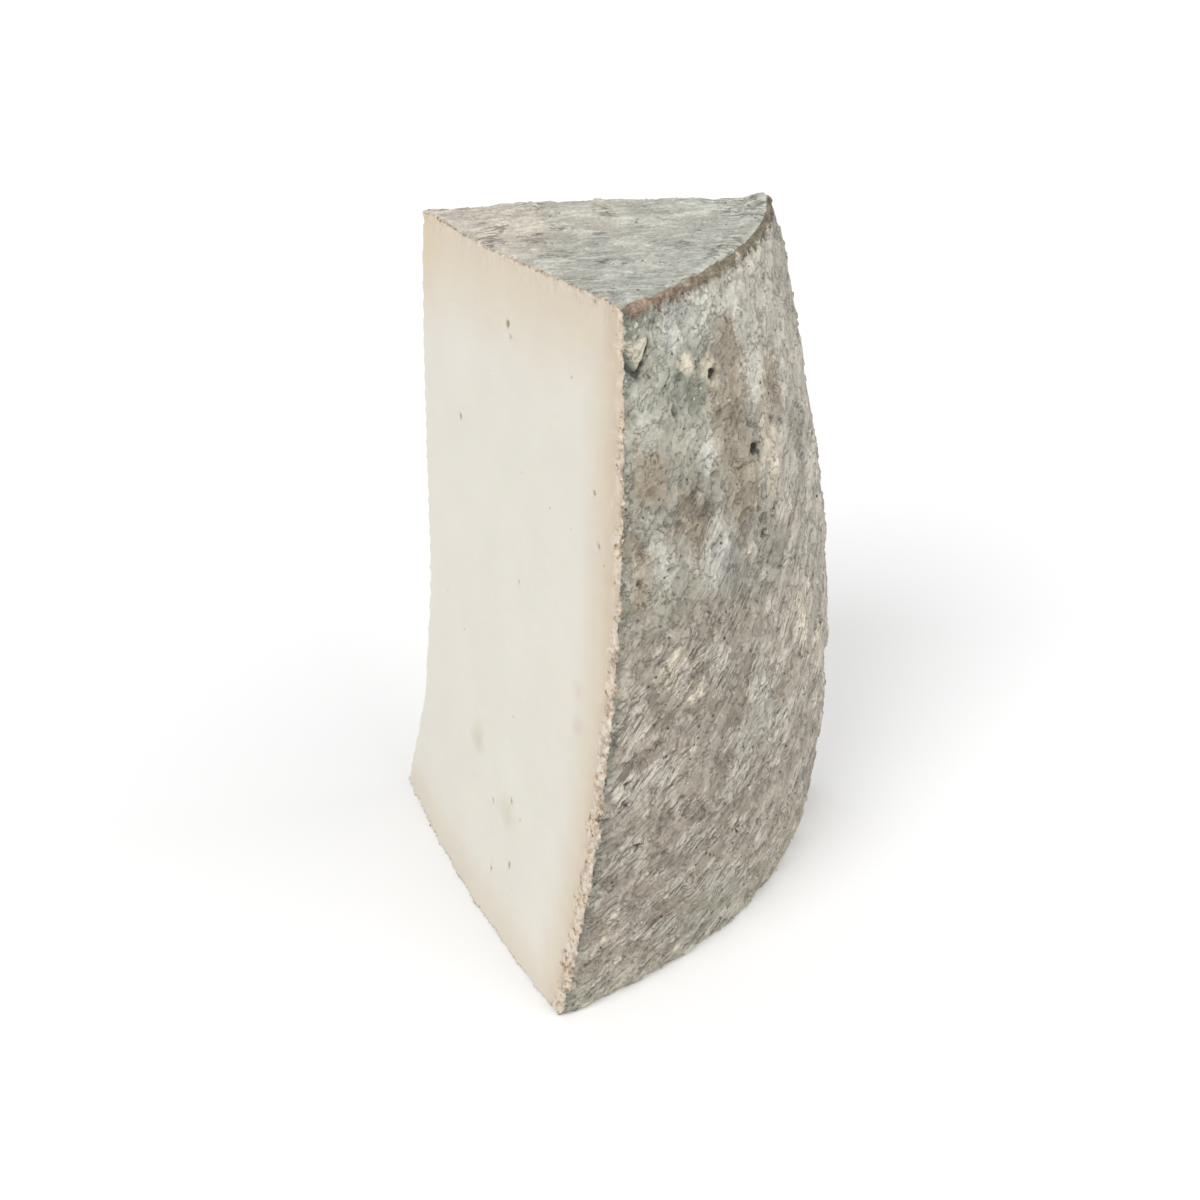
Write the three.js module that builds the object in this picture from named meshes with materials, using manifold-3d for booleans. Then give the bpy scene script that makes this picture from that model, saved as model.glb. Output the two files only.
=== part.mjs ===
// A wedge cut from a drum-shaped cheese wheel with a natural rind.
//
// The cheese is one piece: paste and rind formed together, so the wedge is a single closed solid.
// It is made the way the real one is: first the whole wheel, as a turned body with a bulging heel,
// then two knife cuts that meet near the wheel's centre and leave one wedge standing on its base.
//
// Millimetres, +Z up. +X runs from the tip of the wedge to the middle of its rind.
// The origin is the centre of the bounding box, on the base.

import * as THREE from 'three';
import { mergeVertices } from 'three/addons/utils/BufferGeometryUtils.js';
import Module from 'manifold-3d';

// ---- driving dimensions ----

const WHEEL_HEIGHT = 157; // base to top, half way out along the top
const TOP_RADIUS = 100; // the wheel's radius at its top rim
const BASE_RADIUS = 107.6; // and at its base, where the young cheese settled
const HEEL_BULGE = 8.7; // how far the heel stands out past a straight side
const HEEL_SAG = 0.225; // moves the widest place of the heel towards the base
const RIM_ROUND = 3; // radius of the rounded edge between heel and flat
const TOP_RISE = [0.018, 0.009]; // slope of the top, in +X and +Y of the wheel's own frame

const KNIFE_REACH = 200; // how far past the tip each cut runs, clear of the rind
const KNIFE_MARGIN = 10; // how far the cutter stands above and below the wheel

// Each cut stands at an angle from the wheel's +X and passes the wheel's axis at an offset. The knife
// drifts as it goes down: the angle twists, the offset leans, and it bows part of the way down,
// lower than half way where it sags. Angles in degrees, offsets and bows in millimetres.
const FRONT_CUT = { angle: -4.7, twist: 7.5, offset: 7.7, lean: 8.3, bow: 0, sag: 0 };
const REAR_CUT = { angle: 53.6, twist: 1.0, offset: -0.9, lean: 0.1, bow: -7.8, sag: 1.05 };

const HEEL_STEPS = 26; // rings of faces up the heel
const RIM_STEPS = 4; // rings round each rounded rim
const TURN_STEPS = 168; // segments round the whole wheel
const CUT_STEPS = 24; // slices down each knife cut

const RIND_GREY = '#aaa596';

// ---- the whole wheel ----

// A bow that is 0 at both ends of the height and 1 half way up. Sag moves its peak towards the base.
function bowAt(s, sag) {
  return 4 * s * (1 - s) * (1 - sag * (2 * s - 1));
}

// Radius of the heel at a share s of the height, 0 at the base and 1 at the top.
function heelRadius(s) {
  return THREE.MathUtils.lerp(BASE_RADIUS, TOP_RADIUS, s) + HEEL_BULGE * bowAt(s, HEEL_SAG);
}

// A quarter round between a flat and the heel, turning about (radius - RIM_ROUND, centreZ).
function rimArc(radius, centreZ, fromAngle, toAngle) {
  const points = [];
  for (let i = 0; i <= RIM_STEPS; i++) {
    const angle = THREE.MathUtils.lerp(fromAngle, toAngle, i / RIM_STEPS);
    points.push(
      new THREE.Vector2(
        radius - RIM_ROUND + RIM_ROUND * Math.cos(angle),
        centreZ + RIM_ROUND * Math.sin(angle),
      ),
    );
  }
  return points;
}

// Half the wheel's section, from the middle of the base to the middle of the top.
function wheelProfile() {
  const rimShare = RIM_ROUND / WHEEL_HEIGHT;
  const heel = [];
  for (let i = 1; i < HEEL_STEPS; i++) {
    const s = THREE.MathUtils.lerp(rimShare, 1 - rimShare, i / HEEL_STEPS);
    heel.push(new THREE.Vector2(heelRadius(s), s * WHEEL_HEIGHT));
  }
  return [
    new THREE.Vector2(0, 0),
    ...rimArc(heelRadius(rimShare), RIM_ROUND, -Math.PI / 2, 0),
    ...heel,
    ...rimArc(heelRadius(1 - rimShare), WHEEL_HEIGHT - RIM_ROUND, 0, Math.PI / 2),
    new THREE.Vector2(0, WHEEL_HEIGHT),
  ];
}

// Moves every vertex of a geometry by a function that changes the vector it is given.
function reshape(geometry, move) {
  const position = geometry.getAttribute('position');
  const point = new THREE.Vector3();
  for (let i = 0; i < position.count; i++) {
    move(point.fromBufferAttribute(position, i));
    position.setXYZ(i, point.x, point.y, point.z);
  }
  return geometry;
}

// The turned body stands up along Z, and its top slopes a little, as an aged wheel's does.
function wheelGeometry() {
  const turned = new THREE.LatheGeometry(wheelProfile(), TURN_STEPS).rotateX(Math.PI / 2);
  return reshape(turned, (p) => {
    const s = p.z / WHEEL_HEIGHT;
    p.z += s * (TOP_RISE[0] * (p.x - 0.6 * TOP_RADIUS) + TOP_RISE[1] * p.y);
  });
}

// ---- the knife cuts ----

// Direction and offset of one cut at a share s of the height.
function cutAt(cut, s) {
  const angle = THREE.MathUtils.degToRad(cut.angle + cut.twist * (s - 0.5));
  return {
    along: new THREE.Vector2(Math.cos(angle), Math.sin(angle)),
    across: new THREE.Vector2(-Math.sin(angle), Math.cos(angle)),
    offset: cut.offset + cut.lean * (2 * s - 1) + cut.bow * bowAt(s, cut.sag),
  };
}

// Where the two cuts meet at a share s of the height.
function tipAt(s) {
  const front = cutAt(FRONT_CUT, s);
  const rear = cutAt(REAR_CUT, s);
  const turn = front.along.cross(rear.along);
  return new THREE.Vector2()
    .addScaledVector(rear.along, front.offset / turn)
    .addScaledVector(front.along, -rear.offset / turn);
}

// What stays between the two cuts: a three-sided prism whose section follows the knife down.
// Its corners are the tip, (1, 0) far out on the front cut and (0, 1) far out on the rear cut.
function keptGeometry() {
  const section = new THREE.Shape([
    new THREE.Vector2(0, 0),
    new THREE.Vector2(1, 0),
    new THREE.Vector2(0, 1),
  ]);
  const depth = WHEEL_HEIGHT + 2 * KNIFE_MARGIN;
  const prism = new THREE.ExtrudeGeometry(section, { depth, steps: CUT_STEPS, bevelEnabled: false });
  return reshape(prism, (p) => {
    const z = p.z - KNIFE_MARGIN;
    const s = z / WHEEL_HEIGHT;
    const corner = tipAt(s)
      .addScaledVector(cutAt(FRONT_CUT, s).along, p.x * KNIFE_REACH)
      .addScaledVector(cutAt(REAR_CUT, s).along, p.y * KNIFE_REACH);
    p.set(corner.x, corner.y, z);
  });
}

// ---- joining and placing ----

const wasm = await Module();
wasm.setup();

// A closed three.js geometry as a manifold-3d solid.
function solidFrom(geometry) {
  geometry.deleteAttribute('normal');
  geometry.deleteAttribute('uv');
  const merged = mergeVertices(geometry, 1e-3);
  return new wasm.Manifold(
    new wasm.Mesh({
      numProp: 3,
      vertProperties: merged.getAttribute('position').array,
      triVerts: new Uint32Array(merged.getIndex().array),
    }),
  );
}

// A manifold-3d solid back as a three.js geometry.
function geometryFrom(solid) {
  const mesh = solid.getMesh();
  return new THREE.BufferGeometry()
    .setAttribute('position', new THREE.BufferAttribute(mesh.vertProperties, 3))
    .setIndex(new THREE.BufferAttribute(mesh.triVerts, 1));
}

function wedgeGeometry() {
  const wheel = solidFrom(wheelGeometry());
  const kept = solidFrom(keptGeometry());
  const wedge = geometryFrom(wheel.intersect(kept));
  const middle = (FRONT_CUT.angle + REAR_CUT.angle) / 2;
  wedge.rotateZ(THREE.MathUtils.degToRad(-middle));
  wedge.computeBoundingBox();
  const { min, max } = wedge.boundingBox;
  return wedge.translate(-(min.x + max.x) / 2, -(min.y + max.y) / 2, -min.z);
}

const cheese = new THREE.Mesh(
  wedgeGeometry(),
  new THREE.MeshStandardMaterial({ color: RIND_GREY, roughness: 0.85, metalness: 0 }),
);
cheese.name = 'cheese_wedge';

const part = new THREE.Group();
part.add(cheese);

export default part;
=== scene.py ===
# %% [markdown]
# # A wedge of drum-shaped cheese with a natural rind
# This lesson dresses a plain wedge with the looks of real cheese: ivory paste on the two knife cuts,
# a crumbly edge where the knife went through the rind, and a grey-green mould rind round the outside.
# The plain wedge comes from the CAD frame at its real size, and it is never moved or resized.

# %% Load the frame and measure it
import math

import bmesh
import bpy
import numpy as np
from mathutils import Matrix, Vector, noise
from mathutils.bvhtree import BVHTree


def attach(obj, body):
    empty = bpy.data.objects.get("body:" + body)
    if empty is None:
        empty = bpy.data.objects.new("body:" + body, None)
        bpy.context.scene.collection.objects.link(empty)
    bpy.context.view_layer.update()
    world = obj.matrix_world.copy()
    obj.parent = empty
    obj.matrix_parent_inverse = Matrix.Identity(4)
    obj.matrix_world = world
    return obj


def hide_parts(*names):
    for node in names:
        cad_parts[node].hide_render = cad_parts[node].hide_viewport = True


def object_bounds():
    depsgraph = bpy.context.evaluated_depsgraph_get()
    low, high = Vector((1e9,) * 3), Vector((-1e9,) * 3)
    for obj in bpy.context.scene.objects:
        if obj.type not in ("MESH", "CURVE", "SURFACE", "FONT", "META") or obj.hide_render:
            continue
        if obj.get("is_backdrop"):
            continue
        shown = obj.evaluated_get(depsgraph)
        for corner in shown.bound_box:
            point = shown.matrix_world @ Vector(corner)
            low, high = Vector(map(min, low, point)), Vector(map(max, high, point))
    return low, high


MM = 0.001
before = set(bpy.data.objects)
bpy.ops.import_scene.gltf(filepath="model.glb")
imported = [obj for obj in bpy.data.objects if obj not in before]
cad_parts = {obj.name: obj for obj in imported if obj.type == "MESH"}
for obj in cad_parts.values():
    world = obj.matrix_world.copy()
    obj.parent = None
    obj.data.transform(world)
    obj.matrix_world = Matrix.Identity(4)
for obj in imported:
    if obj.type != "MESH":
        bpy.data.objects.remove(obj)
cad_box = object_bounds()
LOW, HIGH = (np.array(corner) / MM for corner in cad_box)
HEIGHT = HIGH[2] - LOW[2]
print("The wedge measures", (HIGH - LOW).round(1), "mm")

# %% [markdown]
# ## The camera
# A camera is easiest to aim when it hangs on an imaginary arm: the arm turns to an azimuth, tips up to
# an elevation, and holds the camera a set distance from the point it looks at. A camera held by hand is
# seldom quite level, so this one also rolls a few degrees. Three rotations, multiplied in that
# order, say the same thing as a matrix.

# %% Place the camera
AZIMUTH, ELEVATION, ROLL = (math.radians(angle) for angle in (34.9, 28.6, -3.6))
DISTANCE = 2.692 * HEIGHT * MM
AIM = Vector((0.0, 0.1215, 0.398)) * HEIGHT * MM

arm = (
    Matrix.Rotation(AZIMUTH, 4, "Z")
    @ Matrix.Rotation(math.pi / 2 - ELEVATION, 4, "X")
    @ Matrix.Rotation(ROLL, 4, "Z")
)
lens = bpy.data.cameras.new("camera")
lens.lens = 51.4
lens.clip_start = 0.01
camera = bpy.data.objects.new("camera", lens)
camera.matrix_world = Matrix.Translation(AIM) @ arm @ Matrix.Translation((0, 0, DISTANCE))
bpy.context.scene.collection.objects.link(camera)
bpy.context.scene.camera = camera
print("The camera stands at", [round(place, 3) for place in camera.matrix_world.translation])

# %% [markdown]
# ## An even skin
# The CAD wedge is a few long triangles, too coarse to sculpt. Subdividing them would keep their
# uneven shapes, so the wedge is rebuilt with a voxel remesh instead: it wraps the shape in small
# squares of one size, and softens the knife edges by about one square, as a real cut is softened. A
# light smoothing then eases the CAD's facets away.
# The CAD mesh comes in as loose triangles, so its copy is merged first, and the CAD node stays as is.

# %% Copy the wedge and remesh it
SKIN_STEP = 0.55  # millimetres between two points of the new skin
SMOOTH_ROUNDS = 3


def merged_copy(node, name):
    """A new object with a CAD node's mesh, its loose triangles joined at their corners."""
    body = bmesh.new()
    body.from_mesh(node.data)
    bmesh.ops.remove_doubles(body, verts=body.verts, dist=0.001 * MM)
    mesh = bpy.data.meshes.new(name)
    body.to_mesh(mesh)
    body.free()
    made = bpy.data.objects.new(name, mesh)
    bpy.context.scene.collection.objects.link(made)
    return made


def apply_modifiers(piece):
    """Turns what the modifiers show into the piece's own mesh."""
    shown = piece.evaluated_get(bpy.context.evaluated_depsgraph_get())
    mesh = bpy.data.meshes.new_from_object(shown)
    piece.modifiers.clear()
    piece.data = mesh


cheese = merged_copy(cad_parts["cheese_wedge"], "cheese")
plain = cheese.data
skin = cheese.modifiers.new("even skin", "REMESH")
skin.mode = "VOXEL"
skin.voxel_size = SKIN_STEP * MM
ease = cheese.modifiers.new("ease facets", "SMOOTH")
ease.factor = 0.5
ease.iterations = SMOOTH_ROUNDS
apply_modifiers(cheese)
print("The even skin has", len(cheese.data.vertices), "points")

# %% [markdown]
# ## Knowing where each point lies
# Sculpting by code needs to know what each point is part of. The plain wedge is sorted into its top,
# base, heel (the curved side) and two knife cuts by the way their faces point, and a BVH tree of each
# gives the distance from any point to it. Those distances make every mask in this lesson: the heel is
# where the distance to it is nearly zero, and the rind's edge is where heel and cut are both near.

# %% Measure the distance to each face
REACH = 30.0  # millimetres; further than this is simply far


def facing(normal):
    """Which face of the wedge points this way."""
    if abs(normal.z) > 0.7:
        return "top" if normal.z > 0 else "base"
    if normal.x > 0.3:
        return "heel"
    return "front" if normal.y < 0 else "rear"


def face_trees(mesh):
    """A BVH tree for each face of the wedge, in millimetres."""
    corners = [vertex.co / MM for vertex in mesh.vertices]
    sorted_faces = {name: [] for name in ("top", "base", "heel", "front", "rear")}
    for face in mesh.polygons:
        sorted_faces[facing(face.normal)].append(face.vertices[:])
    return {name: BVHTree.FromPolygons(corners, faces) for name, faces in sorted_faces.items()}


def distance(tree, points):
    """How far each point is from a tree's faces, up to REACH."""
    found = (tree.find_nearest(point, REACH)[3] for point in points.tolist())
    return np.array([REACH if gap is None else gap for gap in found])


def points_of(mesh):
    """Every point of a mesh, in millimetres."""
    flat = np.empty(len(mesh.vertices) * 3, np.float32)
    mesh.vertices.foreach_get("co", flat)
    return flat.reshape(-1, 3).astype(float) / MM


points = points_of(cheese.data)
near = {name: distance(tree, points) for name, tree in face_trees(plain).items()}
near["cut"] = np.minimum(near["front"], near["rear"])
near["flat"] = np.minimum(near["top"], near["base"])
near["rind"] = np.minimum(near["heel"], near["flat"])
print({name: int((gap < 0.5).sum()) for name, gap in near.items()}, "points lie on each face")

# %% [markdown]
# ## Coordinates that follow the wheel
# The wedge was cut from a wheel, and its axis stands at the wedge's tip. Unrolling the heel gives each
# point an arc length round the wheel, a radius, and a height. Brush strokes and mould patches are laid
# out in that unrolled sheet, so that they run round the cheese instead of straight through it.

# %% Unroll the wheel
tip = points_of(plain)[points_of(plain)[:, 0].argmin()]
WHEEL_RADIUS = HIGH[0] - tip[0]


def unroll(places):
    """Arc length, radius and height of each place, in millimetres."""
    across = places[:, :2] - tip[:2]
    radius = np.hypot(across[:, 0], across[:, 1])
    arc = np.arctan2(across[:, 1], across[:, 0]) * WHEEL_RADIUS
    return np.stack([arc, radius, places[:, 2]], axis=1)


sheet = unroll(points)
print("The heel is", round(float(np.ptp(sheet[near["heel"] < 0.5, 0])), 1), "mm round")

# %% [markdown]
# ## Patterns for sculpting
# Blender's mathutils.noise gives the same value for the same place each time, so a pattern needs no
# random seed. Each layer below is a noise of one size in millimetres, worked out only where its mask
# is above zero. ease_between turns a distance into a soft 0-to-1 mask, as a colour ramp does.

# %% Masks and noise layers


def ease_between(value, start, end):
    """0 before start and 1 after end, with a smooth step between. start may be above end."""
    share = np.clip((value - start) / (end - start), 0, 1)
    return share * share * (3 - 2 * share)


def layer(mask, places, size, pattern):
    """pattern at every place where mask is above zero, with its features about size across."""
    values = np.zeros(len(mask))
    rows = np.flatnonzero(mask > 0.001)
    values[rows] = [pattern(place) for place in (places[rows] / size).tolist()]
    return values


def cloudy(place):
    return noise.fractal(place, 1.0, 2.0, 3)


def rough(place):
    return noise.fractal(place, 0.7, 2.1, 5)


def ridges(place):
    return noise.ridged_multi_fractal(place, 1.0, 2.0, 4, 1.0, 2.0)


def grains(place):
    """Distance to the middle of the nearest grain, from 0 to about 1."""
    return noise.voronoi(place)[0][0]


def stroked(along, across, off, degrees, length, width):
    """Places turned and squeezed, so that noise on them draws strokes at an angle to along."""
    angle = math.radians(degrees)
    down_stroke = along * math.cos(angle) + across * math.sin(angle)
    side_stroke = across * math.cos(angle) - along * math.sin(angle)
    return np.stack([down_stroke / length, side_stroke / width, off / length], axis=1)


ON_FACE, OFF_FACE = 0.4, 1.2  # millimetres from a face: a mask is full up to one, gone by the other
heel = ease_between(near["heel"], OFF_FACE, ON_FACE)
top = ease_between(near["top"], OFF_FACE, ON_FACE) * (1 - heel)
base = ease_between(near["base"], OFF_FACE, ON_FACE) * (1 - heel)
cut = ease_between(near["cut"], 0.6, 0.2) * ease_between(near["rind"], 0.1, 0.7)
relief = np.zeros(len(points))
swell = np.zeros(len(points))
print("Masks made for", len(points), "points")

# %% [markdown]
# ## Strokes and ovals on the unrolled heel
# A stroke is a noise stretched along one direction, and a patch is a soft oval. Both are laid on the
# unrolled sheet. Ruled strokes would look like a machine's, so the sheet is first pushed about by a broad
# noise, and the strokes bend a little as a hand's do.

# %% Strokes and ovals
BEND = 3.5  # millimetres that a stroke may be pushed
BEND_SIZE = 40.0
OTHER_NOISE = 50  # a step to another part of the same noise
bend = [BEND * layer(heel, sheet + step, BEND_SIZE, noise.noise) for step in (0, OTHER_NOISE)]
arc, height = sheet[:, 0] + bend[0], sheet[:, 2] + bend[1]


def oval(middle, height, wide, tall):
    """How far each point of the sheet is from an oval's middle, 1 at its outline."""
    return np.hypot((sheet[:, 0] - middle) / wide, (sheet[:, 2] - height) / tall)


def painted(ovals):
    strength = np.zeros(len(points))
    for spot in ovals:
        strength = np.maximum(strength, ease_between(oval(*spot), 1.6, 0.2))
    return strength


def heel_strokes(mask, degrees, length, width):
    """Brush strokes on the unrolled heel, at an angle above the horizontal, gently bent."""
    return layer(mask, stroked(arc, height, sheet[:, 1], degrees, length, width), 1, noise.noise)


print("Strokes are pushed by up to", round(float(np.abs(bend).max()), 1), "mm")

# %% [markdown]
# ## Sculpting the heel
# The heel of an aged cheese is brushed and turned by hand every week, which leaves slanting strokes in
# the mould. Between them the rind swells, flakes off in thin plates and opens in small pits. Each of
# those is one layer with its own size. The plates come from a cloudy noise cut off at one level, which
# gives them a crisp step for an edge.

# %% Brush strokes, plates and pits
SMOOTH_SPOTS = [(-33, 137, 13, 17), (-12, 146, 14, 7), (-28, 103, 12, 8), (24, 140, 12, 20)]
STROKE_HEIGHT = 0.45
PLATE_HEIGHT = 0.40
SMALL_PLATE_HEIGHT = 0.34
FINE_HEIGHT = 0.10
CRUST_HEIGHT = 0.38
PIT_DEPTH = 0.65
HEEL_SWELL = 0.6
up = sheet[:, 2] / HEIGHT
brushed = ease_between(layer(heel, points, 30, cloudy), -0.35, 0.15)
steep = heel_strokes(heel, 40, 22, 3.4) * ease_between(up, 0.36, 0.5)
shallow = heel_strokes(heel, 24, 24, 3.6) * ease_between(up, 0.5, 0.36)
plates = ease_between(layer(heel, points, 15, rough), 0.11, 0.15)
small_plates = ease_between(layer(heel, points + 40, 6, rough), 0.17, 0.22)
crusty = heel * ease_between(layer(heel, points + 90, 16, cloudy), -0.10, 0.30)
crusty *= (1 - painted(SMOOTH_SPOTS)) * (0.25 + 0.75 * ease_between(up, 0.45, 0.6))
crust = layer(crusty, points, 3.4, ridges) - 1.0
pits = ease_between(layer(heel, points, 5.2, grains), 0.26, 0.10)
fine = layer(heel, points, 1.7, rough)

swell += heel * HEEL_SWELL * layer(heel, points, 25, cloudy)
relief += heel * STROKE_HEIGHT * brushed * (steep + shallow)
relief += heel * (PLATE_HEIGHT * plates + SMALL_PLATE_HEIGHT * small_plates)
relief += heel * (FINE_HEIGHT * fine - PIT_DEPTH * pits)
relief += CRUST_HEIGHT * crusty * crust
print("The heel rises and falls by", round(float(np.ptp(relief[heel > 0.9])), 2), "mm")

# %% [markdown]
# ## Marks made one by one
# Some marks catch the eye, so they are placed one by one: a deep pit, some smaller holes and gashes, and a
# patch of ridges. Each is given on the unrolled sheet, as arc and height in millimetres, then how far
# it reaches sideways and upwards, and a hole's depth comes last. A low lip is raised round every hole.

# %% Carve the heel's own marks
RIDGE_PATCH = (-30.0, 82.0, 8.0, 10.0)
RIDGE_HEIGHT = 0.9
LIP_HEIGHT = 0.32
HOLES = [
    (-7.0, 138.5, 2.2, 1.3, 1.9),
    (3.2, 118.6, 2.6, 1.5, 1.4),
    (5.4, 116.4, 1.2, 2.0, 1.0),
    (2.1, 99.5, 1.4, 1.0, 1.0),
    (-21.6, 134.0, 0.9, 1.6, 0.7),
    (-12.0, 118.7, 1.8, 0.9, 0.7),
    (12.5, 131.0, 1.0, 2.4, 0.9),
    (-17.0, 52.5, 1.4, 0.8, 0.8),
    (-46.0, 44.0, 1.4, 0.9, 0.8),
    (22.0, 88.0, 2.0, 1.2, 1.1),
    (-3.0, 107.0, 2.4, 0.8, 0.7),
    (-30.0, 104.0, 1.8, 0.8, 0.7),
]

holes = np.zeros(len(points))
torn_edge = 0.5 * fine
for middle, level, wide, tall, deep in HOLES:
    away = oval(middle, level, wide, tall) + torn_edge
    holes = np.maximum(holes, deep * ease_between(away, 1.1, 0.45))
    relief += heel * LIP_HEIGHT * ease_between(away, 2.0, 1.4) * ease_between(away, 0.9, 1.3)
relief -= heel * holes

ridge_patch = heel * ease_between(oval(*RIDGE_PATCH), 1.25, 0.5)
relief += RIDGE_HEIGHT * ridge_patch * (0.5 + heel_strokes(ridge_patch, 50, 6, 1.7))
print(len(HOLES), "holes carved, the deepest", max(hole[4] for hole in HOLES), "mm")

# %% [markdown]
# ## A lifted flake
# By the front corner, one flake of rind has come loose and stands up with a groove under it. Its outline
# has three straight sides, and the largest of three distances is below zero only inside all of them.

# %% Lift the flake by the front corner
FLAKE = (-30.4, 149.0)
FLAKE_HEIGHT = 0.8  # millimetres
FLAKE_SIDES = [(0, 1, 2.4), (-0.86, -0.5, 2.0), (0.80, -0.6, 1.9)]  # the way a side faces, and how far out
flake_arc, flake_up = sheet[:, 0] - FLAKE[0], sheet[:, 2] - FLAKE[1]
flake_sides = [flake_arc * along + flake_up * upward - out for along, upward, out in FLAKE_SIDES]
flake_edge = np.maximum.reduce(flake_sides)
flake = heel * ease_between(flake_edge, 0.2, -0.5)
groove_depth = ease_between(np.abs(flake_edge - 0.8), 0.9, 0.3) * ease_between(flake_up, 2.5, 1.0)
relief += FLAKE_HEIGHT * flake - heel * groove_depth
holes = np.maximum(holes, groove_depth)
print("The flake stands", FLAKE_HEIGHT, "mm proud of the rind")

# %% [markdown]
# ## Sculpting the top and base
# The two flat ends lay on cloth while the cheese was young. The weave is gone, but the folds left fine
# parallel lines, all one way, with pits where the mould has eaten in. The base is carved the same way
# but only inwards, so that the wedge still stands on a true plane.

# %% Cloth lines on the flats
CLOTH_ANGLE = 33
CLOTH_HEIGHT = 0.42
FLAT_PLATE_HEIGHT = 0.30
FLAT_SWELL = 0.35
flats = np.maximum(top, base)
cloth_places = stroked(points[:, 0], points[:, 1], points[:, 2], CLOTH_ANGLE, 10, 1.7)
cloth = layer(flats, cloth_places, 1, rough)
flat_plates = ease_between(layer(flats, points, 9, rough), 0.08, 0.16)
flat_pits = ease_between(layer(flats, points, 4.2, grains), 0.28, 0.08)
relief += flats * (CLOTH_HEIGHT * cloth + FLAT_PLATE_HEIGHT * flat_plates - PIT_DEPTH * flat_pits)
swell += flats * FLAT_SWELL * layer(flats, points, 18, cloudy)
print("The top rises and falls by", round(float(np.ptp(relief[top > 0.9])), 2), "mm")

# %% [markdown]
# ## Cracks in the top
# The front corner is the driest place, and the rind has cracked there, with one more crack further back.
# A crack is a groove round a straight line, deepest on the line itself.

# %% Cut the cracks


def gash(start, end, radius):
    """1 along a straight crack between two places, falling to 0 at its radius."""
    start, end = np.array(start), np.array(end)
    share = np.clip((points - start) @ (end - start) / ((end - start) @ (end - start)), 0, 1)
    away = np.linalg.norm(points - start - share[:, None] * (end - start), axis=1)
    return ease_between(away, radius, 0.3 * radius)


FRONT_CORNER = (31.5, -18.5, HEIGHT)
CRACKS = [
    ((27.0, -12.6, 157.6), (36.5, -9.4, 157.8), 1.0),
    ((29.5, -18.8, 156.2), (36.0, -20.6, 155.6), 1.1),
    ((-12.0, 19.0, 157.0), (-7.5, 21.5, 157.0), 0.9),
]
CRACK_DEPTH = 1.2
cracks = np.zeros(len(points))
for start, end, radius in CRACKS:
    cracks = np.maximum(cracks, gash(start, end, radius))
relief -= CRACK_DEPTH * cracks
print(len(CRACKS), "cracks cut")

# %% [markdown]
# ## The rim
# Round the top, the rind bends from flat to heel and dries out first. It wears into a shallow crease just
# below the edge. The crease follows the distance to the top, and a noise crumbles the rim around it.

# %% Wear the rim
RIM_WIDTH = 4.5
RIM_CRUMBLE = 0.8
CREASE_DEPTH = 0.4
CREASE_LEVEL = 1.7  # millimetres below the top
rim_gap = np.maximum(near["heel"], near["flat"])
on_rind = ease_between(near["rind"], OFF_FACE, ON_FACE)
rim = on_rind * ease_between(rim_gap, RIM_WIDTH, 0.5) * ease_between(up, 0.5, 0.9)
rim_noise = layer(rim, points, 3.0, rough)
crease = ease_between(np.abs(near["top"] - CREASE_LEVEL), 1.3, 0.3) * heel
relief += rim * (RIM_CRUMBLE * rim_noise - CREASE_DEPTH * crease)
print("The rim's wear reaches", RIM_WIDTH, "mm and covers", int((rim > 0.5).sum()), "points")

# %% [markdown]
# ## Sculpting the knife cuts
# A knife leaves broad shallow waves in the paste and opens a few of the small eyes that gas made in it.
# Below the top edge it also dragged shreds of rind down the cut, which hang there as fine fibres. An eye
# is given as its place in millimetres and its radius, and so is a stain.

# %% Eyes and stains on the cuts


def away_from(place):
    """How far each point is from a place."""
    return np.linalg.norm(points - place, axis=1)


def dabs(places, outer, inner):
    """1 in the middle of each dab, falling to 0 between inner and outer times its radius."""
    strength = np.zeros(len(points))
    for x, y, z, radius in places:
        strength = np.maximum(strength, ease_between(away_from((x, y, z)), outer * radius, inner * radius))
    return strength


FRONT_EYES = [
    (-2.2, -6.5, 142.7, 0.9),
    (-1.0, -7.4, 140.3, 0.5),
    (-22.6, -0.4, 115.3, 0.7),
    (5.3, -19.9, 87.8, 0.5),
    (33.4, -28.8, 119.4, 0.6),
    (36.1, -32.2, 109.3, 0.6),
    (-4.5, -25.1, 28.4, 0.7),
    (4.7, -29.5, 34.1, 0.7),
    (-2.0, -29.5, 12.5, 0.6),
    (5.9, -33.4, 18.7, 0.7),
    (33.1, -53.0, 8.3, 0.9),
]
STAINS = [
    (32.9, -39.1, 69.3, 3.0),
    (32.1, -37.0, 76.7, 2.5),
    (-12.4, -18.3, 39.8, 5.0),
    (4.0, -28.0, 30.0, 6.0),
]
stains = 0.5 * dabs(STAINS, 1.0, 0.2)
rear_side = ease_between(near["rear"], 0.6, 0.2)
rear_eyes = ease_between(layer(cut * rear_side, points, 17, grains), 0.06, 0.03)
eyes = np.maximum(dabs(FRONT_EYES, 1.7, 0.5), rear_side * rear_eyes)
print(len(FRONT_EYES), "eyes and", len(STAINS), "stains placed on the front cut")

# %% Waves and shreds on the cuts
WAVE_HEIGHT = 0.4
SHRED_HEIGHT = 0.38
EYE_DEPTH = 0.8
shred_zone = cut * ease_between(near["top"], 6.5, 1.0)
shred_places = np.stack([points[:, 0] / 0.9, points[:, 1] / 0.9, points[:, 2] / 5], axis=1)
shreds = layer(shred_zone, shred_places, 1, rough)
swell += cut * WAVE_HEIGHT * layer(cut, points, 40, cloudy)
relief += SHRED_HEIGHT * shred_zone * shreds - EYE_DEPTH * cut * eyes
print("The shreds hang from", int((shred_zone > 0.5).sum()), "points below the top edge")

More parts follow.
